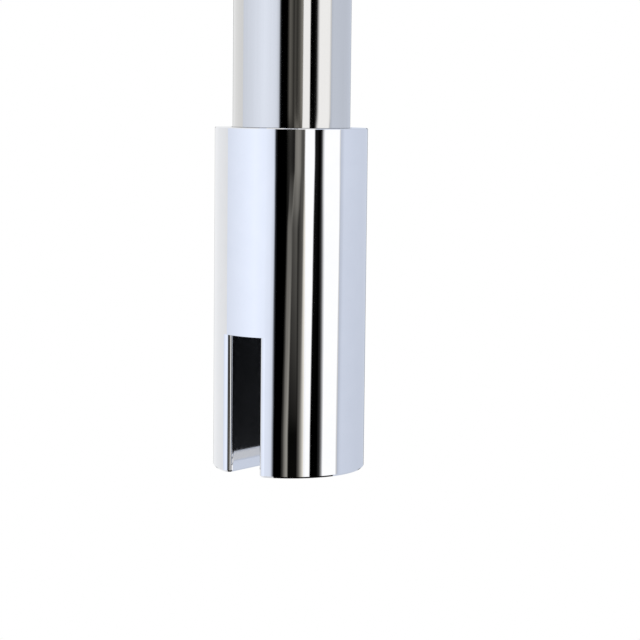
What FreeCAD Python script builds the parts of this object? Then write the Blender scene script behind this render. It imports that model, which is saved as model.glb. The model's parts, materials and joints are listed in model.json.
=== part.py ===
import FreeCAD, Part
import math
import os

# Ceiling-hung support bar for a shower screen.
# Millimetres, +Z up, origin at the centre of the face that meets the ceiling.
# The bar hangs down the Z axis, and its slot runs along X.
# The rear leg of the clamp, which holds the grip screws, is on the +Y side.

# Driving dimensions
bar_length = 300.0
tube_diameter = 20.0
tube_wall = 1.2
clamp_diameter = 26.0
clamp_height = 58.2
glass_thickness = 5.0
pad_thickness = 0.6
glass_play = 0.4
slot_depth = 23.5
cover_diameter = 54.0
cover_height = 20.0

# Fits
socket_clearance = 0.05
screw_clearance = 0.05
cover_clearance = 0.1
seal_clearance = 0.03
end_gap = 0.3

# Reach of a cutter past the faces it breaks through, and the tolerance when edges are picked
run_out = 1.0
touch = 0.001

# Glass clamp
clamp_bottom = -bar_length
clamp_top = clamp_bottom + clamp_height
socket_radius = tube_diameter / 2 + socket_clearance
socket_depth = 26.0
socket_mouth_chamfer = 0.25
slot_width = glass_thickness + pad_thickness + glass_play
slot_roof = clamp_bottom + slot_depth
leg_edge_radius = 1.1
clamp_bottom_chamfer = 0.3
clamp_rim_chamfer = 0.15

# Screws and plugs
grip_screw_diameter = 5.0
grip_screw_length = 6.0
grip_screw_key = 2.5
grip_screw_heights = {"lower": 6.5, "upper": 15.5}
plug_length = 3.0
plug_nose_chamfer = 0.4
lock_screw_diameter = 4.0
lock_screw_length = 2.5
lock_screw_key = 2.0
lock_screw_below_top = 12.0
key_sides = 6
key_depth_share = 0.5
thread_chamfer = 0.4
hole_lead_in = 0.3

# Slot lining
pad_length = 21.0
pad_above_bottom = 2.0
pad_corner_radius = 1.5

# Ceiling base
base_diameter = 48.0
base_thickness = 4.0
base_rim_chamfer = 0.6
boss_diameter = 27.0
boss_bottom = -15.0
boss_chamfer = 0.8
base_socket_floor = -3.0
base_lock_height = -10.0
ceiling_screw_count = 3
ceiling_screw_circle = 37.0
ceiling_hole_diameter = 4.5
ceiling_head_diameter = 8.5

# Cover and its ring
ceiling_gap = 0.2
cover_bottom = -ceiling_gap - cover_height
cover_wall = 1.5
cover_floor = 2.0
cover_edge_chamfer = 2.0
cover_rim_chamfer = 0.3
cover_collar_height = 4.8
cover_collar_width = 3.6
ring_section = 2.0
ring_chamfer = 0.4
ring_groove_width = 2.4
ring_height = 2.6

z_axis = FreeCAD.Vector(0, 0, 1)
y_axis = FreeCAD.Vector(0, 1, 0)


def on_axis(height):
    """Point on the bar's own axis."""
    return FreeCAD.Vector(0, 0, height)


def turned(corners):
    """Solid of revolution about Z from the closed outline of (radius, height) corners."""
    points = [FreeCAD.Vector(radius, 0, height) for radius, height in corners]
    outline = Part.makePolygon(points + points[:1])
    return Part.Face(outline).revolve(on_axis(0), z_axis, 360)


def cylinder(radius, low, high):
    """Upright cylinder on the bar's axis."""
    return Part.makeCylinder(radius, high - low, on_axis(low), z_axis)


def cross_hole(diameter, height, mouth):
    """Tapped hole along +Y with a countersunk lead-in where it breaks out at the given mouth."""
    radius = diameter / 2
    hole = Part.makeCylinder(radius, mouth + run_out, on_axis(height), y_axis)
    lead_in_start = FreeCAD.Vector(0, mouth - hole_lead_in, height)
    lead_in = Part.makeCone(radius, radius + 2 * hole_lead_in, 2 * hole_lead_in, lead_in_start, y_axis)
    return hole.fuse(lead_in)


def edges_where(shape, test):
    """Edges of the shape whose box passes the test."""
    return [edge for edge in shape.Edges if test(edge.BoundBox)]


def slot_cutter():
    """Bar along X with the square section of the glass slot, run out below the clamp."""
    corner = FreeCAD.Vector(-clamp_diameter, -slot_width / 2, clamp_bottom - run_out)
    return Part.makeBox(2 * clamp_diameter, slot_width, slot_depth + run_out, corner)


def glass_clamp():
    """Slotted cylinder with rounded leg edges, a socket for the tube and tapped holes in its rear side."""
    body = cylinder(clamp_diameter / 2, clamp_bottom, clamp_top).cut(slot_cutter())

    def up_a_leg(box):
        return box.ZLength > slot_depth / 2 and box.ZMax < slot_roof + touch

    body = body.makeFillet(leg_edge_radius, edges_where(body, up_a_leg))

    def on_underside(box):
        return box.ZMax < clamp_bottom + touch

    body = body.makeChamfer(clamp_bottom_chamfer, edges_where(body, on_underside))

    def on_top_rim(box):
        return box.ZMin > clamp_top - touch

    body = body.makeChamfer(clamp_rim_chamfer, edges_where(body, on_top_rim))
    mouth = socket_radius + socket_mouth_chamfer
    socket = turned([
        (0, clamp_top - socket_depth),
        (socket_radius, clamp_top - socket_depth),
        (socket_radius, clamp_top - socket_mouth_chamfer),
        (mouth, clamp_top),
        (mouth, clamp_top + run_out),
        (0, clamp_top + run_out),
    ])
    holes = [
        cross_hole(grip_screw_diameter, clamp_bottom + height, clamp_diameter / 2)
        for height in grip_screw_heights.values()
    ]
    holes.append(cross_hole(lock_screw_diameter, clamp_top - lock_screw_below_top, clamp_diameter / 2))
    return body.cut([socket] + holes)


def tube():
    """Round tube from the socket of the base to the socket of the clamp, with deburred ends."""
    outer = tube_diameter / 2
    inner = outer - tube_wall
    deburr = tube_wall / 4
    top = base_socket_floor - end_gap
    bottom = clamp_top - socket_depth + end_gap
    return turned([
        (inner, bottom),
        (outer - deburr, bottom),
        (outer, bottom + deburr),
        (outer, top - deburr),
        (outer - deburr, top),
        (inner, top),
    ])


def set_screw(diameter, length, key, height, tip):
    """Hexagon socket set screw along +Y, with its flat point at the given distance from the bar's axis."""
    radius = diameter / 2 - screw_clearance
    body = turned([
        (0, 0),
        (radius - thread_chamfer, 0),
        (radius, thread_chamfer),
        (radius, length - thread_chamfer),
        (radius - thread_chamfer, length),
        (0, length),
    ])
    corner = key / math.sqrt(3)
    turns = [2 * math.pi * step / key_sides for step in range(key_sides + 1)]
    depth = length * key_depth_share
    corners = [FreeCAD.Vector(corner * math.cos(a), corner * math.sin(a), length - depth) for a in turns]
    key_socket = Part.Face(Part.makePolygon(corners)).extrude(z_axis * (depth + run_out))
    screw = body.cut(key_socket)
    screw.rotate(on_axis(0), FreeCAD.Vector(1, 0, 0), -90)
    screw.translate(FreeCAD.Vector(0, tip, height))
    return screw


def grip_screw(name):
    """Screw that presses a plug against the glass, its point just behind the plug."""
    tip = slot_width / 2 + plug_length + screw_clearance
    height = clamp_bottom + grip_screw_heights[name]
    return set_screw(grip_screw_diameter, grip_screw_length, grip_screw_key, height, tip)


def grip_plug(name):
    """Plug flush with the rear wall of the slot, with a chamfered nose."""
    radius = grip_screw_diameter / 2 - screw_clearance
    base = FreeCAD.Vector(0, slot_width / 2, clamp_bottom + grip_screw_heights[name])
    plug = Part.makeCylinder(radius, plug_length, base, y_axis)

    def on_nose(box):
        return box.YMax < slot_width / 2 + touch

    return plug.makeChamfer(plug_nose_chamfer, edges_where(plug, on_nose))


def lock_screw(height):
    """Screw that bears on the tube through the wall round it."""
    return set_screw(lock_screw_diameter, lock_screw_length, lock_screw_key, height, socket_radius)


def glass_pad():
    """Thin lining on the slot's front wall, with rounded corners."""
    low = clamp_bottom + pad_above_bottom
    high = slot_roof - end_gap
    base = FreeCAD.Vector(-pad_length / 2, -slot_width / 2, low)
    pad = Part.makeBox(pad_length, pad_thickness, high - low, base)
    corners = [edge for edge in pad.Edges if abs(edge.BoundBox.YLength - pad_thickness) < touch]
    return pad.makeFillet(pad_corner_radius, corners)


def ceiling_base():
    """Disc and boss turned as one, with a socket for the tube and holes for the ceiling screws."""
    rim = base_diameter / 2
    boss = boss_diameter / 2
    body = turned([
        (0, 0),
        (rim, 0),
        (rim, base_rim_chamfer - base_thickness),
        (rim - base_rim_chamfer, -base_thickness),
        (boss, -base_thickness),
        (boss, boss_bottom + boss_chamfer),
        (boss - boss_chamfer, boss_bottom),
        (socket_radius, boss_bottom),
        (socket_radius, base_socket_floor),
        (0, base_socket_floor),
    ])
    hole_radius = ceiling_hole_diameter / 2
    head_radius = ceiling_head_diameter / 2
    sink_depth = head_radius - hole_radius
    screw_hole = turned([
        (0, run_out),
        (hole_radius, run_out),
        (hole_radius, sink_depth - base_thickness),
        (head_radius, -base_thickness),
        (head_radius, -base_thickness - run_out),
        (0, -base_thickness - run_out),
    ])
    screw_hole.translate(FreeCAD.Vector(ceiling_screw_circle / 2, 0, 0))
    holes = [cross_hole(lock_screw_diameter, base_lock_height, boss)]
    for number in range(ceiling_screw_count):
        hole = screw_hole.copy()
        hole.rotate(on_axis(0), z_axis, 360 / ceiling_screw_count * number - 90)
        holes.append(hole)
    return body.cut(holes)


def cover():
    """Round cup over the base, thickened round its bore by a collar with a groove for the ring."""
    outer = cover_diameter / 2
    inner = outer - cover_wall
    bore = tube_diameter / 2 + cover_clearance
    collar = bore + cover_collar_width
    floor = cover_bottom + cover_floor
    collar_top = cover_bottom + cover_collar_height
    top = -ceiling_gap
    groove_floor = tube_diameter / 2 + 2 * seal_clearance + ring_section
    groove_low = cover_bottom + ring_height - ring_groove_width / 2
    groove_high = cover_bottom + ring_height + ring_groove_width / 2
    return turned([
        (bore, cover_bottom),
        (outer - cover_edge_chamfer, cover_bottom),
        (outer, cover_bottom + cover_edge_chamfer),
        (outer, top - cover_rim_chamfer),
        (outer - cover_rim_chamfer, top),
        (inner, top),
        (inner, floor),
        (collar, floor),
        (collar, collar_top),
        (bore, collar_top),
        (bore, groove_high),
        (groove_floor, groove_high),
        (groove_floor, groove_low),
        (bore, groove_low),
    ])


def cover_ring():
    """Square rubber ring with chamfered corners, in the cover's groove."""
    inner = tube_diameter / 2 + seal_clearance
    outer = inner + ring_section
    low = cover_bottom + ring_height - ring_section / 2
    high = low + ring_section
    return turned([
        (inner, low + ring_chamfer),
        (inner + ring_chamfer, low),
        (outer - ring_chamfer, low),
        (outer, low + ring_chamfer),
        (outer, high - ring_chamfer),
        (outer - ring_chamfer, high),
        (inner + ring_chamfer, high),
        (inner, high - ring_chamfer),
    ])


def parts():
    """Every piece of the bar by its name."""
    pieces = {
        "glass_clamp": glass_clamp(),
        "tube": tube(),
        "glass_pad": glass_pad(),
        "clamp_lock_screw": lock_screw(clamp_top - lock_screw_below_top),
        "ceiling_base": ceiling_base(),
        "base_lock_screw": lock_screw(base_lock_height),
        "cover": cover(),
        "cover_ring": cover_ring(),
    }
    for name in grip_screw_heights:
        pieces["grip_screw_" + name] = grip_screw(name)
        pieces["grip_plug_" + name] = grip_plug(name)
    return pieces


os.makedirs("parts", exist_ok=True)
for name, shape in parts().items():
    if not shape.isValid() or len(shape.Solids) != 1:
        raise ValueError(name + " is not one valid solid")
    shape.exportStep("parts/" + name + ".step")
    print(name, round(shape.Volume, 1), "cubic millimetres")
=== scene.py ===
import json
import math

import bmesh
import bpy
from bpy.props import FloatProperty, FloatVectorProperty, IntProperty, PointerProperty
from mathutils import Matrix, Vector

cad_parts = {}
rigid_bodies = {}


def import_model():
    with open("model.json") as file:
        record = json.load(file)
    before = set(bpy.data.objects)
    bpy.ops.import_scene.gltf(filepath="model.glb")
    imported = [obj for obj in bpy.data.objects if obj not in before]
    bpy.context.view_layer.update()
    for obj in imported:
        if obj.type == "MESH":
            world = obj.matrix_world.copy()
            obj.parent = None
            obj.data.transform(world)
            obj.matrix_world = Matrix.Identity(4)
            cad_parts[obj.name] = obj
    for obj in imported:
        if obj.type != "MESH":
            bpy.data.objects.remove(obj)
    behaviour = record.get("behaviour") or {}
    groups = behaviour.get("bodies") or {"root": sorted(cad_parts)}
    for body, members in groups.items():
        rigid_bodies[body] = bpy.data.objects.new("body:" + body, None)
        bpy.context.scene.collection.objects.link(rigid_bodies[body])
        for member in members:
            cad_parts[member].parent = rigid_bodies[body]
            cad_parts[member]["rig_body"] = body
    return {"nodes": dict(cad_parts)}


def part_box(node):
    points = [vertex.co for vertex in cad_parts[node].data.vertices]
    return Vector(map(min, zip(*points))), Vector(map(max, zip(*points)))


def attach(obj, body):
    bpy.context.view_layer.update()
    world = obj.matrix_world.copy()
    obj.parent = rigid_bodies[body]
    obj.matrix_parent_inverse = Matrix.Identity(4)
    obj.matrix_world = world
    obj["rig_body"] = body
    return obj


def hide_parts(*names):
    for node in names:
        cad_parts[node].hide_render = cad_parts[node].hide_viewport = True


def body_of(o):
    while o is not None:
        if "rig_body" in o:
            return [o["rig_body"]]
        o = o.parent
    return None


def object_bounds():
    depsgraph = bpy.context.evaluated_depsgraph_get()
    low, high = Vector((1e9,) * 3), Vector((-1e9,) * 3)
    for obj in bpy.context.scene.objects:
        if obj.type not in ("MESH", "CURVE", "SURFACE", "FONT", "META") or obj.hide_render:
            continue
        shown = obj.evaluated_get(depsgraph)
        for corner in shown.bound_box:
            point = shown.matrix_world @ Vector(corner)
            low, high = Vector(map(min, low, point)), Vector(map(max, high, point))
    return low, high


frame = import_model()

bl_info = {
    "name": "Shower screen support bar",
    "version": (1, 0, 0),
    "blender": (4, 5, 0),
    "location": "View3D > Sidebar > Support bar",
    "description": "Gives a ceiling-hung support bar its finishes and sets it in a plain studio",
    "category": "Object",
}

# Units, directions and white light
MM = 0.001
UP = Vector((0, 0, 1))
WHITE = (1, 1, 1, 1)

# Places read from the frame
CAD_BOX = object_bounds()
CLAMP_LOW, CLAMP_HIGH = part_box("glass_clamp")
PAD_LOW, PAD_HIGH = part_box("glass_pad")
COVER_LOW, COVER_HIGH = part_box("cover")
GAP_OVER_PAD = 0.3 * MM
SLOT_HALF_WIDTH = -PAD_LOW.y
SLOT_ROOF = PAD_HIGH.z + GAP_OVER_PAD

# Angle from which an edge is sharp, and the distance within which points become one
SHARP_EDGE = math.radians(35)
MERGE_DISTANCE = 0.0005 * MM

# Form of a screw's thread, in shares of its pitch
THREAD_DEPTH = 0.61
CREST_FLAT = 1 / 8
ROOT_FLAT = 1 / 4

# Numbers of a mix node's sockets, because several of them have the same name
SHARE = 0
NUMBER_A = 2
NUMBER_B = 3
COLOUR_A = 6
COLOUR_B = 7
MIXED_NUMBER = 0
MIXED_COLOUR = 2

# Range that most of a noise pattern's values lie in, and how far roughness strays over it
NOISE_LOW = 0.3
NOISE_HIGH = 0.7
ROUGHNESS_SPREAD = 0.3


def linear(hex_colour):
    """Linear red, green and blue of an sRGB hex value."""
    channels = [int(hex_colour[place:place + 2], 16) / 255 for place in (1, 3, 5)]
    return [level / 12.92 if level <= 0.04045 else ((level + 0.055) / 1.055) ** 2.4 for level in channels]


def colour_property(name, description, hex_colour):
    """Colour that a user may change, given as an sRGB hex value."""
    return FloatVectorProperty(
        name=name,
        description=description,
        subtype="COLOR",
        size=3,
        min=0,
        max=1,
        default=linear(hex_colour),
    )


def length_property(name, description, length):
    """Length that a user may change, given in metres."""
    return FloatProperty(name=name, description=description, default=length, unit="LENGTH")


def angle_property(name, description, degrees):
    """Angle that a user may change, given in degrees."""
    return FloatProperty(name=name, description=description, default=math.radians(degrees), unit="ROTATION")


def roughness_property(name, description, roughness):
    """Roughness that a user may change, from 0 for a mirror to 1 for a matt face."""
    return FloatProperty(name=name, description=description, default=roughness, min=0, max=1)


class BarFinishes(bpy.types.PropertyGroup):
    """Colours and surface values of the bar's materials."""

    chrome_bright: colour_property("Chrome", "Chrome plate where it is best buffed", "#E9E9EB")
    chrome_cool: colour_property("Chrome, cool", "Chrome plate in its faint haze", "#E3E4E7")
    chrome_roughness: roughness_property("Chrome roughness", "Blur of the buffed plate", 0.03)
    slot_roughness: roughness_property("Slot roughness", "Blur of the milled slot under its plate", 0.08)
    cup_roughness: roughness_property("Cup roughness", "Blur of the thin plate inside the cover", 0.5)
    buffing_wave: length_property("Buffing wave", "Length of the soft waves that buffing leaves", 9 * MM)
    tube_bright: colour_property("Tube", "Polished stainless steel of the tube", "#D8D7D6")
    tube_dull: colour_property("Tube, dull", "Tube along its fainter polishing lines", "#D3D2D0")
    # Painted shade: this dark colour is drawn on the tube's foot in place of the shadow in the gap where
    # the tube enters the clamp
    tube_joint_shade: colour_property("Tube joint", "Dried film where the tube enters the clamp", "#5C5B59")
    tube_roughness: roughness_property("Tube roughness", "Blur of the polished tube", 0.05)
    polishing_line: length_property("Polishing line", "Width of the tube's polishing lines", 0.4 * MM)
    screw_bright: colour_property("Screws", "Machined stainless steel on the crests", "#C4C0BA")
    screw_dark: colour_property("Screws, dark", "Machined stainless steel in the roots", "#8D8983")
    nylon: colour_property("Nylon", "Natural nylon of the plugs", "#E9E5D9")
    nylon_shade: colour_property("Nylon, shade", "Nylon where it is less clear", "#DED8C8")
    pad_rubber: colour_property("Slot rubber", "Sheet rubber in the slot", "#0E0E0F")
    pad_bloom: colour_property("Slot rubber bloom", "Greyer bloom on the sheet rubber", "#171718")
    ring_rubber: colour_property("Ring rubber", "Moulded rubber of the cover's ring", "#18181A")
    ring_bloom: colour_property("Ring rubber bloom", "Greyer bloom on the moulded rubber", "#262628")
    brass_bright: colour_property("Brass", "Fresh turned brass", "#E3C98F")
    brass_dull: colour_property("Brass, dull", "Brass that has begun to tarnish", "#C9A96A")
    turning_ring: length_property("Turning rings", "Spacing of the lathe's rings on the brass", 1.2 * MM)


class ScrewShapes(bpy.types.PropertyGroup):
    """Sizes of the set screws' threads and sockets."""

    grip_pitch: length_property("Grip pitch", "Thread pitch of the grip screws", 0.8 * MM)
    grip_key: length_property("Grip key", "Width of the grip screws' sockets", 2.5 * MM)
    lock_pitch: length_property("Lock pitch", "Thread pitch of the lock screws", 0.7 * MM)
    lock_key: length_property("Lock key", "Width of the lock screws' sockets", 2.0 * MM)
    columns: IntProperty(name="Columns", description="Steps round one turn of a thread", default=48, min=12)


class StudioSettings(bpy.types.PropertyGroup):
    """Camera, floor, light and reflector cards of the studio."""

    lens: FloatProperty(
        name="Lens", description="Focal length in millimetres", default=113.24, subtype="DISTANCE_CAMERA"
    )
    distance: length_property("Distance", "Level distance from the bar's axis", 343.91 * MM)
    height: length_property("Height", "Camera height above the clamp's top", 4.8 * MM)
    slot_turn: angle_property("Slot turn", "Turn of the view from the slot's length", 38.3)
    pitch: angle_property("Pitch", "Tilt down", 6.258)
    yaw: angle_property("Yaw", "Turn to the right", 0.866)
    roll: angle_property("Roll", "Roll of the camera", 0.616)
    card_distance: length_property("Card distance", "Distance of the reflector cards", 1.3)
    card_top: length_property("Card top", "Top of the cards above the ceiling face", 0.5)
    card_drop: length_property("Card drop", "Foot of the cards below the bar's lower end", 0.35)
    floor_drop: length_property("Floor drop", "Floor below the bar's lower end", 1.2)
    card_gain: FloatProperty(
        name="Card light", description="Strength of the cards in reflections", default=1.25
    )
    fill: FloatProperty(
        name="Fill", description="Strength of the even light from all round", default=0.8
    )
    key_power: FloatProperty(
        name="Key power", description="Power of the soft lamp", default=6.0, unit="POWER"
    )
    wall: colour_property("Wall card", "Pale card behind the bar on the left", "#F0F1F2")
    daylight: colour_property("Daylight card", "Large cool card on the left", "#E9F0FE")
    room: colour_property("Room card", "Dim warm card round the camera", "#8F8C85")
    strip: colour_property("Strip cards", "White cards on the right", "#FFFFFF")
    side: colour_property("Side card", "Cool grey card behind the bar on the right", "#CBD2E0")
    dark: colour_property("Dark card", "Dark card below the bar", "#0C0A09")
    floor: colour_property("Floor", "Pale floor", "#F3F4F6")


def add_node(tree, kind, inputs=None, **settings):
    """Adds a node, sets its settings, and gives each named input a value or another node's output."""
    added = tree.nodes.new(kind)
    for name, value in settings.items():
        setattr(added, name, value)
    for name, value in (inputs or {}).items():
        if isinstance(value, bpy.types.NodeSocket):
            tree.links.new(value, added.inputs[name])
        else:
            added.inputs[name].default_value = value
    return added


def start_material(name):
    """New material with an empty tree: the material, its tree and the places on the object."""
    material = bpy.data.materials.new(name)
    material.use_nodes = True
    tree = material.node_tree
    tree.nodes.clear()
    place = add_node(tree, "ShaderNodeTexCoord").outputs["Object"]
    return material, tree, place


def end_material(tree, shader_inputs):
    """Adds the surface shader with its inputs and the material's output."""
    shader = add_node(tree, "ShaderNodeBsdfPrincipled", shader_inputs)
    add_node(tree, "ShaderNodeOutputMaterial", {"Surface": shader.outputs["BSDF"]})


def opaque(colour):
    """Colour of a property with full opacity, as a node's socket takes it."""
    return (*colour, 1)


def wave_scale(spacing):
    """Scale at which a wave pattern repeats at a spacing."""
    radians_at_scale_one = 20
    return 2 * math.pi / (radians_at_scale_one * spacing)


def within(tree, first, first_limit, second, second_limit):
    """Output that is 1 where two values are both below their limits and 0 elsewhere."""
    one = add_node(tree, "ShaderNodeMath", {0: first, 1: first_limit}, operation="LESS_THAN")
    other = add_node(tree, "ShaderNodeMath", {0: second, 1: second_limit}, operation="LESS_THAN")
    both = add_node(tree, "ShaderNodeMath", {0: one.outputs[0], 1: other.outputs[0]}, operation="MULTIPLY")
    return both.outputs[0]


def in_slot(tree, place):
    """Output that is 1 on the walls and the roof of the clamp's slot."""
    margin = 0.05 * MM
    position = add_node(tree, "ShaderNodeSeparateXYZ", {"Vector": place})
    across = add_node(tree, "ShaderNodeMath", {0: position.outputs["Y"]}, operation="ABSOLUTE")
    return within(
        tree, across.outputs[0], SLOT_HALF_WIDTH + margin, position.outputs["Z"], SLOT_ROOF + margin
    )


def in_cup(tree, place):
    """Output that is 1 on the inside of the cover."""
    # Both depths end inside the metal, and leave out the chamfer round the lower edge.
    wall_depth = 1 * MM
    floor_depth = 1.5 * MM
    position = add_node(tree, "ShaderNodeSeparateXYZ", {"Vector": place})
    level = add_node(tree, "ShaderNodeVectorMath", {0: place, 1: (1, 1, 0)}, operation="MULTIPLY")
    out = add_node(tree, "ShaderNodeVectorMath", {0: level.outputs["Vector"]}, operation="LENGTH")
    drop = add_node(
        tree, "ShaderNodeMath", {0: COVER_LOW.z, 1: position.outputs["Z"]}, operation="SUBTRACT"
    )
    return within(tree, out.outputs["Value"], COVER_HIGH.x - wall_depth, drop.outputs[0], -floor_depth)


def chrome_plate(name, finish, hidden, hidden_roughness):
    """Bright chrome plate on polished brass, duller on the faces that are hidden in use."""
    # The plate is a nearly perfect mirror, a touch cool. Buffing leaves soft waves that bend
    # straight reflections a little, and a faint haze. It stays duller where no buffing wheel reaches.
    haze_size = 3 * MM
    wave_depth = 0.012 * MM
    material, tree, place = start_material(name)
    waves = add_node(
        tree, "ShaderNodeTexNoise", {"Vector": place, "Scale": 1 / finish.buffing_wave, "Detail": 1}
    )
    haze = add_node(tree, "ShaderNodeTexNoise", {"Vector": place, "Scale": 1 / haze_size, "Detail": 4})
    tone = add_node(
        tree,
        "ShaderNodeMix",
        {
            SHARE: haze.outputs["Fac"],
            COLOUR_A: opaque(finish.chrome_cool),
            COLOUR_B: opaque(finish.chrome_bright),
        },
        data_type="RGBA",
    )
    buffed = add_node(
        tree,
        "ShaderNodeMapRange",
        {
            "Value": haze.outputs["Fac"],
            "From Min": NOISE_LOW,
            "From Max": NOISE_HIGH,
            "To Min": (1 - ROUGHNESS_SPREAD) * finish.chrome_roughness,
            "To Max": (1 + ROUGHNESS_SPREAD) * finish.chrome_roughness,
        },
    )
    roughness = add_node(
        tree,
        "ShaderNodeMix",
        {SHARE: hidden(tree, place), NUMBER_A: buffed.outputs["Result"], NUMBER_B: hidden_roughness},
    )
    bump = add_node(
        tree, "ShaderNodeBump", {"Strength": 1, "Distance": wave_depth, "Height": waves.outputs["Fac"]}
    )
    end_material(tree, {
        "Base Color": tone.outputs[MIXED_COLOUR],
        "Metallic": 1,
        "Roughness": roughness.outputs[MIXED_NUMBER],
        "Normal": bump.outputs["Normal"],
    })
    return material


def polished_stainless(finish):
    """Mirror-polished stainless steel tube."""
    # Belt polishing along the tube leaves a bright but slightly greyer and warmer mirror than
    # chrome, with very fine lines down its length that soften reflections sideways. The lines
    # are drawn coarser than real ones to show. A dark hairline of painted shade runs where the
    # tube enters the clamp, standing in for the shadow in the gap at the joint.
    line_length = 25 * MM
    line_depth = 0.0006 * MM
    # Top of the painted shade line on the tube's foot, just above the clamp's top
    joint_shade_top = CLAMP_HIGH.z + 0.04 * MM
    material, tree, place = start_material("mirror_polished_stainless_tube")
    across = 1 / finish.polishing_line
    stretched = add_node(
        tree, "ShaderNodeMapping", {"Vector": place, "Scale": (across, across, 1 / line_length)}
    )
    lines = add_node(
        tree, "ShaderNodeTexNoise", {"Vector": stretched.outputs["Vector"], "Scale": 1, "Detail": 3}
    )
    tone = add_node(
        tree,
        "ShaderNodeMix",
        {
            SHARE: lines.outputs["Fac"],
            COLOUR_A: opaque(finish.tube_dull),
            COLOUR_B: opaque(finish.tube_bright),
        },
        data_type="RGBA",
    )
    # Painted shade: below this height the tube takes the dark joint colour, standing in for the shadow in
    # the gap at the joint
    position = add_node(tree, "ShaderNodeSeparateXYZ", {"Vector": place})
    in_joint_shade = add_node(
        tree, "ShaderNodeMath", {0: position.outputs["Z"], 1: joint_shade_top}, operation="LESS_THAN"
    )
    with_joint_shade = add_node(
        tree,
        "ShaderNodeMix",
        {
            SHARE: in_joint_shade.outputs[0],
            COLOUR_A: tone.outputs[MIXED_COLOUR],
            COLOUR_B: opaque(finish.tube_joint_shade),
        },
        data_type="RGBA",
    )
    roughness = add_node(
        tree,
        "ShaderNodeMapRange",
        {
            "Value": lines.outputs["Fac"],
            "From Min": NOISE_LOW,
            "From Max": NOISE_HIGH,
            "To Min": (1 - ROUGHNESS_SPREAD) * finish.tube_roughness,
            "To Max": (1 + ROUGHNESS_SPREAD) * finish.tube_roughness,
        },
    )
    bump = add_node(
        tree, "ShaderNodeBump", {"Strength": 1, "Distance": line_depth, "Height": lines.outputs["Fac"]}
    )
    end_material(tree, {
        "Base Color": with_joint_shade.outputs[MIXED_COLOUR],
        "Metallic": 1,
        "Roughness": roughness.outputs["Result"],
        "Normal": bump.outputs["Normal"],
    })
    return material


def machined_stainless(finish):
    """Plain machined stainless steel of the set screws."""
    # Cut threads and a broached socket stay as the tools left them: satin, a little warm,
    # and darker in patches where oil stays in the roots.
    grain_size = 0.5 * MM
    grain_depth = 0.008 * MM
    material, tree, place = start_material("machined_stainless_set_screw")
    grain = add_node(tree, "ShaderNodeTexNoise", {"Vector": place, "Scale": 1 / grain_size, "Detail": 5})
    tone = add_node(
        tree,
        "ShaderNodeMix",
        {
            SHARE: grain.outputs["Fac"],
            COLOUR_A: opaque(finish.screw_dark),
            COLOUR_B: opaque(finish.screw_bright),
        },
        data_type="RGBA",
    )
    roughness = add_node(
        tree, "ShaderNodeMapRange", {"Value": grain.outputs["Fac"], "To Min": 0.24, "To Max": 0.42}
    )
    bump = add_node(
        tree, "ShaderNodeBump", {"Strength": 0.6, "Distance": grain_depth, "Height": grain.outputs["Fac"]}
    )
    end_material(tree, {
        "Base Color": tone.outputs[MIXED_COLOUR],
        "Metallic": 1,
        "Roughness": roughness.outputs["Result"],
        "Normal": bump.outputs["Normal"],
    })
    return material


def natural_nylon(finish):
    """Turned natural nylon of the plugs."""
    # Uncoloured nylon is milky: light goes a little way in, and the lathe leaves fine rings
    # round the plug's own axis, which runs across the clamp.
    cloud_size = 1.5 * MM
    ring_spacing = 0.3 * MM
    ring_depth = 0.01 * MM
    light_depth = 0.6 * MM
    material, tree, place = start_material("turned_natural_nylon")
    cloud = add_node(tree, "ShaderNodeTexNoise", {"Vector": place, "Scale": 1 / cloud_size, "Detail": 2})
    tone = add_node(
        tree,
        "ShaderNodeMix",
        {
            SHARE: cloud.outputs["Fac"],
            COLOUR_A: opaque(finish.nylon_shade),
            COLOUR_B: opaque(finish.nylon),
        },
        data_type="RGBA",
    )
    rings = add_node(
        tree,
        "ShaderNodeTexWave",
        {"Vector": place, "Scale": wave_scale(ring_spacing), "Distortion": 0.6},
        wave_type="BANDS",
        bands_direction="Y",
    )
    bump = add_node(
        tree, "ShaderNodeBump", {"Strength": 0.4, "Distance": ring_depth, "Height": rings.outputs["Fac"]}
    )
    end_material(tree, {
        "Base Color": tone.outputs[MIXED_COLOUR],
        "Roughness": 0.42,
        "IOR": 1.53,
        "Subsurface Weight": 0.25,
        "Subsurface Radius": (1.0, 0.95, 0.8),
        "Subsurface Scale": light_depth,
        "Normal": bump.outputs["Normal"],
    })
    return material


def sheet_rubber(finish):
    """Calendered rubber sheet of the slot's lining."""
    # Sheet rubber is near black and matt, with a fine even grain from the rollers
    # and a greyer bloom in patches.
    bloom_size = 4 * MM
    grain_size = 0.25 * MM
    grain_depth = 0.02 * MM
    material, tree, place = start_material("calendered_black_rubber_sheet")
    bloom = add_node(tree, "ShaderNodeTexNoise", {"Vector": place, "Scale": 1 / bloom_size, "Detail": 4})
    grain = add_node(tree, "ShaderNodeTexNoise", {"Vector": place, "Scale": 1 / grain_size, "Detail": 2})
    tone = add_node(
        tree,
        "ShaderNodeMix",
        {
            SHARE: bloom.outputs["Fac"],
            COLOUR_A: opaque(finish.pad_rubber),
            COLOUR_B: opaque(finish.pad_bloom),
        },
        data_type="RGBA",
    )
    roughness = add_node(
        tree, "ShaderNodeMapRange", {"Value": bloom.outputs["Fac"], "To Min": 0.55, "To Max": 0.75}
    )
    bump = add_node(
        tree, "ShaderNodeBump", {"Strength": 0.5, "Distance": grain_depth, "Height": grain.outputs["Fac"]}
    )
    end_material(tree, {
        "Base Color": tone.outputs[MIXED_COLOUR],
        "Roughness": roughness.outputs["Result"],
        "IOR": 1.52,
        "Specular IOR Level": 0.25,
        "Normal": bump.outputs["Normal"],
    })
    return material


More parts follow.
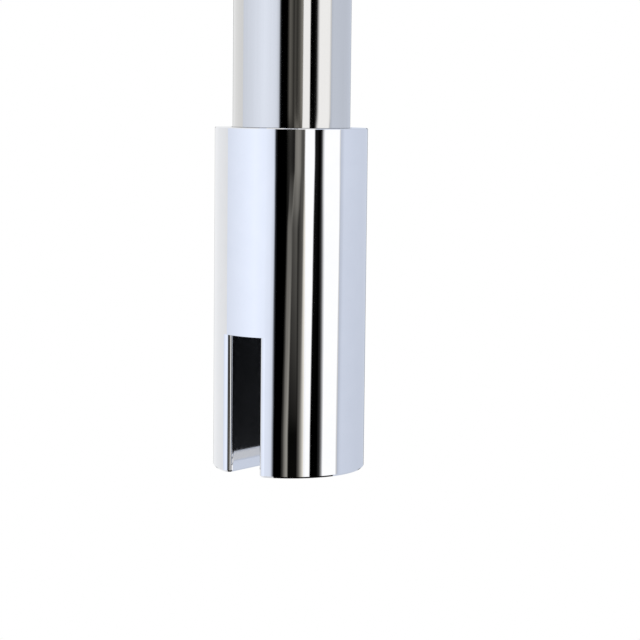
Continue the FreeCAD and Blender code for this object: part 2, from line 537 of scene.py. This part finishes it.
def moulded_rubber(finish):
    """Moulded nitrile rubber of the cover's ring."""
    # A moulded ring is black with a soft sheen from the polished mould, and a little greyer bloom.
    bloom_size = 2 * MM
    material, tree, place = start_material("moulded_black_nitrile")
    bloom = add_node(tree, "ShaderNodeTexNoise", {"Vector": place, "Scale": 1 / bloom_size, "Detail": 3})
    tone = add_node(
        tree,
        "ShaderNodeMix",
        {
            SHARE: bloom.outputs["Fac"],
            COLOUR_A: opaque(finish.ring_rubber),
            COLOUR_B: opaque(finish.ring_bloom),
        },
        data_type="RGBA",
    )
    roughness = add_node(
        tree, "ShaderNodeMapRange", {"Value": bloom.outputs["Fac"], "To Min": 0.36, "To Max": 0.55}
    )
    end_material(tree, {
        "Base Color": tone.outputs[MIXED_COLOUR],
        "Roughness": roughness.outputs["Result"],
        "IOR": 1.52,
    })
    return material


def turned_brass(finish):
    """Turned brass of the ceiling base, left without plate."""
    # The lathe leaves fine rings round the bar's axis, so highlights fan out from it,
    # and bare brass tarnishes in soft patches. The rings are drawn coarser than real ones to show.
    tarnish_size = 8 * MM
    ring_depth = 0.01 * MM
    material, tree, place = start_material("turned_bare_brass")
    tarnish = add_node(
        tree, "ShaderNodeTexNoise", {"Vector": place, "Scale": 1 / tarnish_size, "Detail": 5}
    )
    rings = add_node(
        tree,
        "ShaderNodeTexWave",
        {"Vector": place, "Scale": wave_scale(finish.turning_ring), "Distortion": 0.4},
        wave_type="RINGS",
        rings_direction="Z",
    )
    ringed = add_node(
        tree,
        "ShaderNodeMath",
        {0: tarnish.outputs["Fac"], 1: rings.outputs["Fac"]},
        operation="MULTIPLY",
    )
    tone = add_node(
        tree,
        "ShaderNodeMix",
        {
            SHARE: ringed.outputs[0],
            COLOUR_A: opaque(finish.brass_dull),
            COLOUR_B: opaque(finish.brass_bright),
        },
        data_type="RGBA",
    )
    roughness = add_node(
        tree, "ShaderNodeMapRange", {"Value": tarnish.outputs["Fac"], "To Min": 0.36, "To Max": 0.24}
    )
    round_axis = add_node(tree, "ShaderNodeTangent", direction_type="RADIAL", axis="Z")
    bump = add_node(
        tree, "ShaderNodeBump", {"Strength": 0.3, "Distance": ring_depth, "Height": rings.outputs["Fac"]}
    )
    end_material(tree, {
        "Base Color": tone.outputs[MIXED_COLOUR],
        "Metallic": 1,
        "Roughness": roughness.outputs["Result"],
        "Anisotropic": 0.6,
        "Tangent": round_axis.outputs["Tangent"],
        "Normal": bump.outputs["Normal"],
    })
    return material


def dress(node, material):
    """Gives a solid of the frame its material."""
    mesh = frame["nodes"][node].data
    mesh.materials.clear()
    mesh.materials.append(material)


def stand_in(shape, name, material, node):
    """Turns a built shape into a piece that takes a solid's place and rides on its body."""
    bmesh.ops.recalc_face_normals(shape, faces=shape.faces)
    for face in shape.faces:
        face.smooth = True
    mesh = bpy.data.meshes.new(name)
    shape.to_mesh(mesh)
    shape.free()
    mesh.set_sharp_from_angle(angle=SHARP_EDGE)
    mesh.materials.append(material)
    piece = bpy.data.objects.new(name, mesh)
    bpy.context.scene.collection.objects.link(piece)
    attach(piece, body_of(frame["nodes"][node])[0])
    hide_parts(node)


def join_rings(shape, ring, other):
    """Closes the band between two rings of as many points with faces."""
    count = len(ring)
    for step in range(count):
        after = (step + 1) % count
        shape.faces.new((ring[step], ring[after], other[after], other[step]))


def ring_points(shape, radii, height):
    """Ring of points at even angles, one for each radius, at a height along Z."""
    count = len(radii)
    points = []
    for step, radius in enumerate(radii):
        angle = 2 * math.pi * step / count
        points.append(shape.verts.new((radius * math.cos(angle), radius * math.sin(angle), height)))
    return points


def thread_grid(shape, length, crest, pitch, columns):
    """Outside of a right-hand thread along Z. Its rows follow the helix, and both ends are chamfered."""
    below_root = 0.03 * MM
    root = crest - THREAD_DEPTH * pitch
    end_radius = root - below_root
    flank = (1 - CREST_FLAT - ROOT_FLAT) / 2
    root_start = CREST_FLAT + flank
    profile = ((0, crest), (CREST_FLAT, crest), (root_start, root), (root_start + ROOT_FLAT, root))
    turns = math.ceil(length / pitch) + 2
    rows = [((turn + phase) * pitch, radius) for turn in range(-1, turns) for phase, radius in profile]

    def column(step):
        """Points up the thread at one angle."""
        angle = 2 * math.pi * step / columns
        points = []
        for start, profile_radius in rows:
            height = min(max(start + pitch * step / columns, 0), length)
            radius = min(profile_radius, end_radius + min(height, length - height))
            points.append(shape.verts.new((radius * math.cos(angle), radius * math.sin(angle), height)))
        return points

    grid = [column(step) for step in range(columns)]
    one_turn = len(profile)
    for step in range(columns):
        last = step == columns - 1
        rise = one_turn if last else 0
        near = grid[step]
        far = grid[0] if last else grid[step + 1]
        for row in range(len(rows) - one_turn - 1):
            shape.faces.new((near[row], far[row + rise], far[row + rise + 1], near[row + 1]))
    return end_radius


def hexagon_radii(width, count):
    """Radii of a hexagon at even angles, from its width across flats."""
    side_angle = math.pi / 3
    radii = []
    for step in range(count):
        off_middle = 2 * math.pi * step / count % side_angle - side_angle / 2
        radii.append(width / 2 / math.cos(off_middle))
    return radii


def set_screw(node, pitch, key, columns, material):
    """Threaded set screw with a flat point and a hexagon socket, in the place of its plain solid."""
    low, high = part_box(node)
    length = high.y - low.y
    socket_floor = length / 2
    tip_depth = key / 4
    shape = bmesh.new()
    end_radius = thread_grid(shape, length, (high.x - low.x) / 2, pitch, columns)
    flats = hexagon_radii(key, columns)
    point = ring_points(shape, [end_radius] * columns, 0)
    head = ring_points(shape, [end_radius] * columns, length)
    mouth = ring_points(shape, flats, length)
    floor = ring_points(shape, flats, socket_floor)
    shape.faces.new(point)
    join_rings(shape, head, mouth)
    join_rings(shape, mouth, floor)
    drill_tip = shape.verts.new((0, 0, socket_floor - tip_depth))
    for step in range(columns):
        shape.faces.new((floor[step], floor[(step + 1) % columns], drill_tip))
    bmesh.ops.remove_doubles(shape, verts=shape.verts, dist=MERGE_DISTANCE)
    bmesh.ops.dissolve_degenerate(shape, edges=shape.edges, dist=MERGE_DISTANCE)
    middle = (low.z + high.z) / 2
    along_y = Matrix.Translation((0, low.y, middle)) @ Matrix.Rotation(math.radians(-90), 4, "X")
    shape.transform(along_y)
    stand_in(shape, node + "_threaded", material, node)


def rounded_outline(low, high, radius, inset):
    """Points round a rectangle with round corners in X and Z, drawn in by an inset."""
    corner_steps = 8
    reach = radius - inset
    corners = (
        (high.x - radius, high.z - radius),
        (low.x + radius, high.z - radius),
        (low.x + radius, low.z + radius),
        (high.x - radius, low.z + radius),
    )
    points = []
    for quarter, (x, z) in enumerate(corners):
        for step in range(corner_steps + 1):
            angle = math.pi / 2 * (quarter + step / corner_steps)
            points.append((x + reach * math.cos(angle), z + reach * math.sin(angle)))
    return points


def lining_sheet(material):
    """Rubber sheet on the slot's front wall, with its open edges eased."""
    edge = 0.12 * MM
    corner = 1.5 * MM
    shape = bmesh.new()
    rings = []
    for depth, inset in ((PAD_LOW.y, 0), (PAD_HIGH.y - edge, 0), (PAD_HIGH.y, edge)):
        outline = rounded_outline(PAD_LOW, PAD_HIGH, corner, inset)
        rings.append([shape.verts.new((x, depth, z)) for x, z in outline])
    for ring, other in zip(rings, rings[1:]):
        join_rings(shape, ring, other)
    shape.faces.new(rings[0])
    shape.faces.new(rings[-1])
    stand_in(shape, "slot_lining_sheet", material, "glass_pad")


def rubber_ring(material):
    """Ring of soft square section in the cover's groove."""
    low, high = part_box("cover_ring")
    half = (high.z - low.z) / 2
    middle = high.x - half
    section_steps = 24
    columns = 96
    squareness = 2 / 3
    shape = bmesh.new()
    rings = []
    for step in range(section_steps):
        angle = 2 * math.pi * step / section_steps
        out = math.copysign(abs(math.cos(angle)) ** squareness, math.cos(angle))
        rise = math.copysign(abs(math.sin(angle)) ** squareness, math.sin(angle))
        rings.append(ring_points(shape, [middle + half * out] * columns, low.z + half + half * rise))
    for step in range(section_steps):
        join_rings(shape, rings[step], rings[(step + 1) % section_steps])
    stand_in(shape, "cover_rubber_ring", material, "cover_ring")


def view_axes(studio):
    """Level directions of the view: away from the camera and to its right."""
    away = Vector((math.cos(studio.slot_turn), math.sin(studio.slot_turn), 0))
    right = Vector((math.sin(studio.slot_turn), -math.cos(studio.slot_turn), 0))
    return away, right


def aim_camera(studio):
    """Camera level with the clamp's top, tilted a little down along the bar."""
    film_width = 36
    near_limit = 10 * MM
    away, right = view_axes(studio)
    level_reach = math.cos(studio.pitch)
    ahead = (away * math.cos(studio.yaw) + right * math.sin(studio.yaw)) * level_reach
    ahead -= UP * math.sin(studio.pitch)
    level = ahead.cross(UP).normalized()
    lifted = level.cross(ahead)
    side = level * math.cos(studio.roll) + lifted * math.sin(studio.roll)
    top = lifted * math.cos(studio.roll) - level * math.sin(studio.roll)
    data = bpy.data.cameras.new("studio_camera")
    data.lens = studio.lens
    data.sensor_width = film_width
    data.clip_start = near_limit
    camera = bpy.data.objects.new("studio_camera", data)
    pose = Matrix((side, top, -ahead)).transposed().to_4x4()
    pose.translation = UP * (CLAMP_HIGH.z + studio.height) - away * studio.distance
    camera.matrix_world = pose
    scene = bpy.context.scene
    scene.collection.objects.link(camera)
    scene.camera = camera


def seen_directly(tree):
    """Output that is 1 for camera, mirror and transmission rays and 0 for soft light."""
    path = add_node(tree, "ShaderNodeLightPath")
    mirrored = add_node(
        tree,
        "ShaderNodeMath",
        {0: path.outputs["Is Camera Ray"], 1: path.outputs["Is Glossy Ray"]},
        operation="MAXIMUM",
    )
    seen = add_node(
        tree,
        "ShaderNodeMath",
        {0: mirrored.outputs[0], 1: path.outputs["Is Transmission Ray"]},
        operation="MAXIMUM",
    )
    return seen.outputs[0]


def light_world(studio):
    """White all round to the eye and in mirrors, and an even soft light."""
    world = bpy.data.worlds.new("white_studio")
    bpy.context.scene.world = world
    world.use_nodes = True
    tree = world.node_tree
    tree.nodes.clear()
    strength = add_node(
        tree, "ShaderNodeMapRange", {"Value": seen_directly(tree), "To Min": studio.fill, "To Max": 1}
    )
    white = add_node(
        tree, "ShaderNodeBackground", {"Color": WHITE, "Strength": strength.outputs["Result"]}
    )
    add_node(tree, "ShaderNodeOutputWorld", {"Surface": white.outputs["Background"]})


def stage_object(name, mesh, material):
    """Links a mesh that belongs to the studio and not to the bar."""
    mesh.materials.append(material)
    added = bpy.data.objects.new(name, mesh)
    bpy.context.scene.collection.objects.link(added)
    return added


def floor_material(studio):
    """Pale matt floor that runs out into the white of the studio."""
    matt_reach = 0.5
    white_reach = 1.6
    material, tree, place = start_material("pale_matt_studio_floor")
    reach = add_node(tree, "ShaderNodeVectorMath", {0: place}, operation="LENGTH")
    distance = add_node(
        tree,
        "ShaderNodeMapRange",
        {"Value": reach.outputs["Value"], "From Min": matt_reach, "From Max": white_reach},
        interpolation_type="SMOOTHSTEP",
    )
    share = add_node(
        tree,
        "ShaderNodeMath",
        {0: distance.outputs["Result"], 1: seen_directly(tree)},
        operation="MULTIPLY",
    )
    matt = add_node(
        tree, "ShaderNodeBsdfPrincipled", {"Base Color": opaque(studio.floor), "Roughness": 0.9}
    )
    white = add_node(tree, "ShaderNodeEmission", {"Color": WHITE, "Strength": 1})
    surface = add_node(
        tree,
        "ShaderNodeMixShader",
        {0: share.outputs[0], 1: matt.outputs["BSDF"], 2: white.outputs["Emission"]},
    )
    add_node(tree, "ShaderNodeOutputMaterial", {"Surface": surface.outputs["Shader"]})
    return material


def lay_floor(studio):
    """Round floor well below the bar."""
    radius = 6.0
    shape = bmesh.new()
    bmesh.ops.create_circle(shape, cap_ends=True, segments=96, radius=radius)
    mesh = bpy.data.meshes.new("studio_floor")
    shape.to_mesh(mesh)
    shape.free()
    floor = stage_object("studio_floor", mesh, floor_material(studio))
    floor.location.z = CLAMP_LOW.z - studio.floor_drop


def hang_key_lamp(studio):
    """One soft lamp above the camera's left shoulder."""
    width = 1.0
    above = 1.0
    in_front = 0.9
    to_left = 0.9
    away, right = view_axes(studio)
    data = bpy.data.lights.new("soft_key_lamp", "AREA")
    data.shape = "DISK"
    data.size = width
    data.energy = studio.key_power
    lamp = bpy.data.objects.new("soft_key_lamp", data)
    lamp.location = UP * above - away * in_front - right * to_left
    middle = (CAD_BOX[0] + CAD_BOX[1]) / 2
    lamp.rotation_mode = "QUATERNION"
    lamp.rotation_quaternion = (middle - lamp.location).to_track_quat("-Z", "Y")
    lamp.visible_glossy = False
    bpy.context.scene.collection.objects.link(lamp)


def card_material(studio):
    """Lit card, as bright as its points say."""
    material, tree, _ = start_material("lit_reflector_card")
    glow = add_node(tree, "ShaderNodeAttribute", attribute_name="glow")
    light = add_node(
        tree, "ShaderNodeEmission", {"Color": glow.outputs["Color"], "Strength": studio.card_gain}
    )
    add_node(tree, "ShaderNodeOutputMaterial", {"Surface": light.outputs["Emission"]})
    return material


def card_object(name, rows, points, glows, material):
    """Card from a grid of points, as many rows up each column, which only mirrors see."""
    faces = []
    for column in range(len(points) // rows - 1):
        for row in range(rows - 1):
            first = column * rows + row
            faces.append((first, first + rows, first + rows + 1, first + 1))
    mesh = bpy.data.meshes.new(name)
    mesh.from_pydata(points, [], faces)
    glow = mesh.attributes.new("glow", "FLOAT_COLOR", "POINT")
    glow.data.foreach_set("color", [channel for colour in glows for channel in (*colour, 1)])
    card = stage_object(name, mesh, material)
    card.visible_camera = False
    card.visible_diffuse = False
    card.visible_shadow = False
    card.visible_transmission = False


def card_point(studio, degrees, distance, height):
    """Place at a level angle to the camera's right, as seen from the bar."""
    away, right = view_axes(studio)
    turn = math.radians(degrees)
    return (right * math.sin(turn) - away * math.cos(turn)) * distance + UP * height


def card_levels(studio, foot, waist, top, tube, high):
    """Rows of a tall card from its folded foot to its folded top: distance, height and stops."""
    far = studio.card_distance
    foot_fold = 0.15 * far
    top_fold = 0.2 * far
    card_foot = CLAMP_LOW.z - studio.card_drop
    # Heights of the card that the camera sees mirrored in the clamp's parts and in the tube
    foot_height = CLAMP_LOW.z - 210 * MM
    waist_height = CLAMP_HIGH.z - 100 * MM
    top_start = CLAMP_HIGH.z - 50 * MM
    top_end = CLAMP_HIGH.z - 20 * MM
    tube_start = CLAMP_HIGH.z - 10 * MM
    tube_end = CLAMP_HIGH.z + 90 * MM
    return (
        (foot_fold, card_foot, foot),
        (far, card_foot, foot),
        (far, foot_height, foot),
        (far, waist_height, waist),
        (far, top_start, top),
        (far, top_end, top),
        (far, tube_start, tube),
        (far, tube_end, tube),
        (far, studio.card_top, high),
        (top_fold, studio.card_top, high),
    )


def card_columns(stops):
    """Columns of a tall card: the stop that each one comes after and its share of the way to the next."""
    widest_step = 4
    columns = []
    for index in range(len(stops) - 1):
        steps = math.ceil((stops[index + 1][0] - stops[index][0]) / widest_step)
        columns.extend((index, step / steps) for step in range(steps))
    columns.append((len(stops) - 2, 1))
    return columns


def stand_card(studio, name, colour, material, foot, waist=None, top=None, tube=None, high=None):
    """Tall card curved round the bar and folded in at its foot and at its top.

    Each list of stops gives degrees to the camera's right and a share of the colour's light.
    The lists are what the clamp's foot, waist and top, the tube and the cover mirror, each by
    default the same as the one below it. All lists of a card have as many stops.
    """
    waist = waist or foot
    top = top or waist
    tube = tube or top
    high = high or tube
    levels = card_levels(studio, foot, waist, top, tube, high)
    points = []
    glows = []
    for index, share in card_columns(foot):
        for distance, height, stops in levels:
            (start, light), (end, end_light) = stops[index:index + 2]
            points.append(card_point(studio, start + (end - start) * share, distance, height))
            glows.append(Vector(colour) * (light + (end_light - light) * share))
    card_object(name, len(levels), points, glows, material)


def dark_stripe(start, end, before, after):
    """Stops of a dark stripe from one angle to another, with the light just before and after it."""
    edge = 1
    dim = 0.08
    return [(start, before), (start + edge, dim), (end - edge, dim), (end, after)]


def stand_wall(studio, material):
    """Pale card behind the bar on the left, with a dark stripe that edges the metal seen from behind."""
    stops = [(-180, 0.8)] + dark_stripe(-176, -170, 0.8, 0.86) + [(-150, 0.9), (-110, 0.83)]
    stand_card(studio, "wall_card", studio.wall, material, stops)


def stand_daylight(studio, material):
    """Large cool card on the left, which ends in the dark beside the camera."""
    sky = [(-110, 0.83), (-82, 0.93)]
    stand_card(
        studio,
        "daylight_card",
        studio.daylight,
        material,
        foot=sky + [(-55, 1.0), (-38, 0.93), (-30, 0.84), (-27, 0.77), (-23.2, 0.02), (-22, 0), (-12, 0)],
        waist=sky + [(-55, 1.03), (-38, 0.98), (-30, 0.9), (-25, 0.71), (-22.7, 0.02), (-20, 0), (-7, 0)],
        top=sky + [(-55, 1.03), (-38, 0.98), (-30, 0.9), (-25.3, 0.82), (-22.7, 0.03), (-20, 0), (-7, 0)],
        tube=sky + [(-55, 1.05), (-38, 0.99), (-30, 0.93), (-25.3, 0.74), (-22.4, 0.03), (-20, 0), (-9, 0)],
    )


def stand_room(studio, material):
    """Dim warm card round the camera, with the soft streaks between the dark bands."""
    stand_card(
        studio,
        "room_card",
        studio.room,
        material,
        foot=[
            (-12, 0), (-9, 0.15), (-6, 0.7), (-3, 1.1), (-0.8, 0.01),
            (11.5, 0.01), (15, 0.35), (18, 1.2), (20.5, 2.3), (22, 3.2),
        ],
        waist=[
            (-7, 0), (-5.6, 0.02), (-3, 0.5), (0.5, 0.5), (3.4, 0.2),
            (8.7, 0.34), (11.5, 0.06), (18, 0.35), (20.3, 2.5), (22, 3.3),
        ],
        top=[
            (-7, 0), (-4, 0.05), (-1, 0.09), (4.8, 0.03), (6.6, 0.62),
            (10.5, 0.8), (13.8, 0.66), (15.6, 0.3), (18.8, 0.25), (20.3, 1.3),
        ],
        tube=[
            (-9, 0), (-7, 0.1), (-4, 0.45), (0, 0.3), (3, 0.1),
            (6, 0.25), (10, 0.12), (15, 0.35), (20.5, 1), (21, 1.1),
        ],
        high=[
            (-9, 0.4), (-7, 0.9), (-4, 1.6), (0, 1.4), (3, 1.2),
            (6, 1.4), (10, 1.3), (15, 1.6), (20.5, 2), (21, 2),
        ],
    )


def stand_strip(studio, material):
    """Narrow white card on the right, with the dark beside it."""
    stand_card(
        studio,
        "strip_card",
        studio.strip,
        material,
        foot=[(22, 0.85), (26, 1), (30.8, 1), (32.4, 0), (43, 0)],
        waist=[(22, 0.95), (24, 1), (33.2, 1), (34.8, 0.006), (43, 0)],
        top=[(20.3, 0.6), (21.3, 1), (34.2, 1), (35.8, 0.012), (43, 0)],
        tube=[(21, 0.5), (22, 1), (34.2, 1), (35.8, 0), (43, 0)],
    )


def stand_softbox(studio, material):
    """Wide white card further to the right, with soft edges."""
    stand_card(
        studio,
        "softbox_card",
        studio.strip,
        material,
        foot=[
            (43, 0), (47, 0.02), (49.4, 0.19), (51.2, 0.52),
            (52.8, 1), (75.1, 1), (77.1, 0.58), (78.3, 0.52),
        ],
        waist=[
            (43, 0), (45.9, 0.02), (48, 0.17), (51.2, 0.84),
            (52.6, 1), (77.3, 1), (78.4, 0.6), (79.2, 0.54),
        ],
        top=[
            (43, 0), (45.4, 0.01), (47, 0.12), (48.8, 0.56),
            (51.4, 1), (76.3, 1), (78.5, 0.6), (79, 0.56),
        ],
        tube=[
            (43, 0), (48.3, 0.01), (50.3, 0.2), (52.6, 0.65),
            (55, 1), (77, 1), (79.5, 0.8), (82, 0.56),
        ],
    )


def stand_side(studio, material):
    """Cool grey card on the right and behind, with a dark stripe that edges the metal seen from behind."""
    rear_of_foot = dark_stripe(167, 176, 0.85, 0.84) + [(180, 0.84)]
    rear = dark_stripe(167, 176, 0.89, 0.88) + [(180, 0.88)]
    stand_card(
        studio,
        "side_card",
        studio.side,
        material,
        foot=[(78.3, 0.77), (80.5, 0.82), (82.5, 0.93), (87, 0.98)] + rear_of_foot,
        waist=[(79.2, 0.82), (81.5, 0.87), (84, 0.92), (87, 1.0)] + rear,
        top=[(79, 0.86), (81.5, 0.86), (83, 0.92), (87, 1.03)] + rear,
        tube=[(82, 0.88), (83, 0.9), (84, 0.92), (87, 1.0)] + rear,
    )


def lay_dark_card(studio, material):
    """Dark card below the bar, just above the other cards' feet, which the clamp's lower edge mirrors."""
    sides = (-60 * MM, 180 * MM)
    ends = (35 * MM, 210 * MM)
    above_feet = 1 * MM
    away, right = view_axes(studio)
    height = CLAMP_LOW.z - studio.card_drop + above_feet
    points = [right * side + away * end + UP * height for side in sides for end in ends]
    glows = [Vector(studio.dark)] * len(points)
    card_object("dark_low_card", len(ends), points, glows, material)


def stand_cards(studio):
    """Pale, dark and lit cards all round, which give the polished metal its upright bands."""
    material = card_material(studio)
    stand_wall(studio, material)
    stand_daylight(studio, material)
    stand_room(studio, material)
    stand_strip(studio, material)
    stand_softbox(studio, material)
    stand_side(studio, material)
    lay_dark_card(studio, material)


class SUPPORTBAR_OT_plate_clamp(bpy.types.Operator):
    """Gives the slotted clamp its chrome plate"""

    bl_idname = "support_bar.plate_clamp"
    bl_label = "Plate the clamp"

    def execute(self, context):
        finish = context.scene.bar_finishes
        plate = chrome_plate("chrome_plate_on_milled_brass", finish, in_slot, finish.slot_roughness)
        dress("glass_clamp", plate)
        return {"FINISHED"}


class SUPPORTBAR_OT_polish_tube(bpy.types.Operator):
    """Gives the tube its mirror polish"""

    bl_idname = "support_bar.polish_tube"
    bl_label = "Polish the tube"

    def execute(self, context):
        dress("tube", polished_stainless(context.scene.bar_finishes))
        return {"FINISHED"}


class SUPPORTBAR_OT_line_slot(bpy.types.Operator):
    """Lays the rubber sheet on the slot's front wall"""

    bl_idname = "support_bar.line_slot"
    bl_label = "Line the slot"

    def execute(self, context):
        lining_sheet(sheet_rubber(context.scene.bar_finishes))
        return {"FINISHED"}


class SUPPORTBAR_OT_thread_screws(bpy.types.Operator):
    """Cuts the threads and sockets of the grip and lock screws"""

    bl_idname = "support_bar.thread_screws"
    bl_label = "Thread the screws"

    def execute(self, context):
        shapes = context.scene.screw_shapes
        material = machined_stainless(context.scene.bar_finishes)
        for node in ("grip_screw_upper", "grip_screw_lower"):
            set_screw(node, shapes.grip_pitch, shapes.grip_key, shapes.columns, material)
        for node in ("clamp_lock_screw", "base_lock_screw"):
            set_screw(node, shapes.lock_pitch, shapes.lock_key, shapes.columns, material)
        return {"FINISHED"}


class SUPPORTBAR_OT_turn_plugs(bpy.types.Operator):
    """Gives the two plugs their turned nylon"""

    bl_idname = "support_bar.turn_plugs"
    bl_label = "Turn the plugs"

    def execute(self, context):
        material = natural_nylon(context.scene.bar_finishes)
        for node in ("grip_plug_upper", "grip_plug_lower"):
            dress(node, material)
        return {"FINISHED"}


class SUPPORTBAR_OT_turn_base(bpy.types.Operator):
    """Gives the ceiling base its turned brass"""

    bl_idname = "support_bar.turn_base"
    bl_label = "Turn the base"

    def execute(self, context):
        dress("ceiling_base", turned_brass(context.scene.bar_finishes))
        return {"FINISHED"}


class SUPPORTBAR_OT_plate_cover(bpy.types.Operator):
    """Gives the cover its chrome plate and lays the rubber ring in its groove"""

    bl_idname = "support_bar.plate_cover"
    bl_label = "Plate the cover"

    def execute(self, context):
        finish = context.scene.bar_finishes
        plate = chrome_plate("chrome_plate_on_turned_brass", finish, in_cup, finish.cup_roughness)
        dress("cover", plate)
        rubber_ring(moulded_rubber(finish))
        return {"FINISHED"}


class SUPPORTBAR_OT_set_stage(bpy.types.Operator):
    """Sets the camera, the floor, the light and the reflector cards"""

    bl_idname = "support_bar.set_stage"
    bl_label = "Set the stage"

    def execute(self, context):
        studio = context.scene.studio_settings
        context.scene.view_settings.view_transform = "Standard"
        light_world(studio)
        lay_floor(studio)
        hang_key_lamp(studio)
        stand_cards(studio)
        aim_camera(studio)
        return {"FINISHED"}


STEPS = (
    SUPPORTBAR_OT_plate_clamp,
    SUPPORTBAR_OT_polish_tube,
    SUPPORTBAR_OT_line_slot,
    SUPPORTBAR_OT_thread_screws,
    SUPPORTBAR_OT_turn_plugs,
    SUPPORTBAR_OT_turn_base,
    SUPPORTBAR_OT_plate_cover,
    SUPPORTBAR_OT_set_stage,
)
SETTINGS = {"bar_finishes": BarFinishes, "screw_shapes": ScrewShapes, "studio_settings": StudioSettings}


class SUPPORTBAR_PT_sidebar(bpy.types.Panel):
    """Lists the steps that finish the bar"""

    bl_idname = "SUPPORTBAR_PT_sidebar"
    bl_label = "Support bar"
    bl_space_type = "VIEW_3D"
    bl_region_type = "UI"
    bl_category = "Support bar"

    def draw(self, context):
        for step in STEPS:
            self.layout.operator(step.bl_idname)


def register():
    """Adds the settings, the steps and the panel to Blender."""
    for name, group in SETTINGS.items():
        bpy.utils.register_class(group)
        setattr(bpy.types.Scene, name, PointerProperty(type=group))
    for step in STEPS:
        bpy.utils.register_class(step)
    bpy.utils.register_class(SUPPORTBAR_PT_sidebar)


def unregister():
    """Takes the panel, the steps and the settings out again."""
    bpy.utils.unregister_class(SUPPORTBAR_PT_sidebar)
    for step in reversed(STEPS):
        bpy.utils.unregister_class(step)
    for name, group in SETTINGS.items():
        delattr(bpy.types.Scene, name)
        bpy.utils.unregister_class(group)


def main():
    """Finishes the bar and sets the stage."""
    register()
    bpy.ops.support_bar.plate_clamp()
    bpy.ops.support_bar.polish_tube()
    bpy.ops.support_bar.line_slot()
    bpy.ops.support_bar.thread_screws()
    bpy.ops.support_bar.turn_plugs()
    bpy.ops.support_bar.turn_base()
    bpy.ops.support_bar.plate_cover()
    bpy.ops.support_bar.set_stage()


if __name__ == "__main__":
    main()
